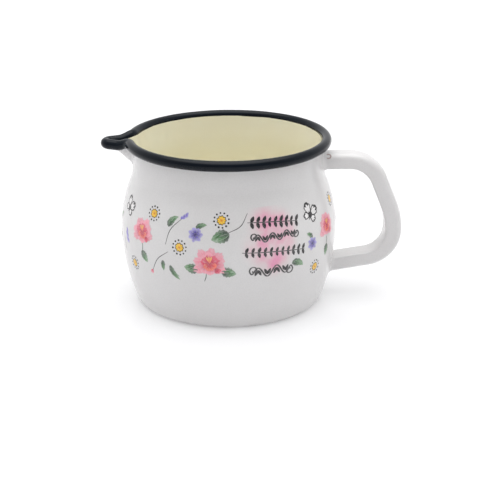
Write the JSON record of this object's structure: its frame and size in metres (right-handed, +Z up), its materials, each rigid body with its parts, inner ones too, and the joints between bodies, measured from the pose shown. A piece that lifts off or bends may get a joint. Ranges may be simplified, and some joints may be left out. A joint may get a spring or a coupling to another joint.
{
  "type": "enamelled pouring pot",
  "caption": "Bellied enamelled steel melting and pouring pot with a pressed lip, a rolled dark rim, a cream lining and a hollow side handle",
  "frame": {"origin": "centre of the flat base, on the pot's axis, at the height of the surface it stands on", "axes": "+Z up along the pot's axis, +X towards the handle, -X towards the pouring lip, Y across"},
  "size_m": [0.1761, 0.1262, 0.099],
  "materials": {
    "white_enamel": "gloss",
    "cream_enamel": "gloss",
    "navy_enamel": "gloss",
    "handle_enamel": "gloss"
  },
  "bodies": {
    "root": {"body_shell": "white_enamel", "lining_coat": "cream_enamel", "rim_coat": "navy_enamel", "handle_channel": "handle_enamel", "handle_strip": "handle_enamel", "upper_weld": "handle_enamel", "lower_weld": "handle_enamel"}
  },
  "joints": []
}
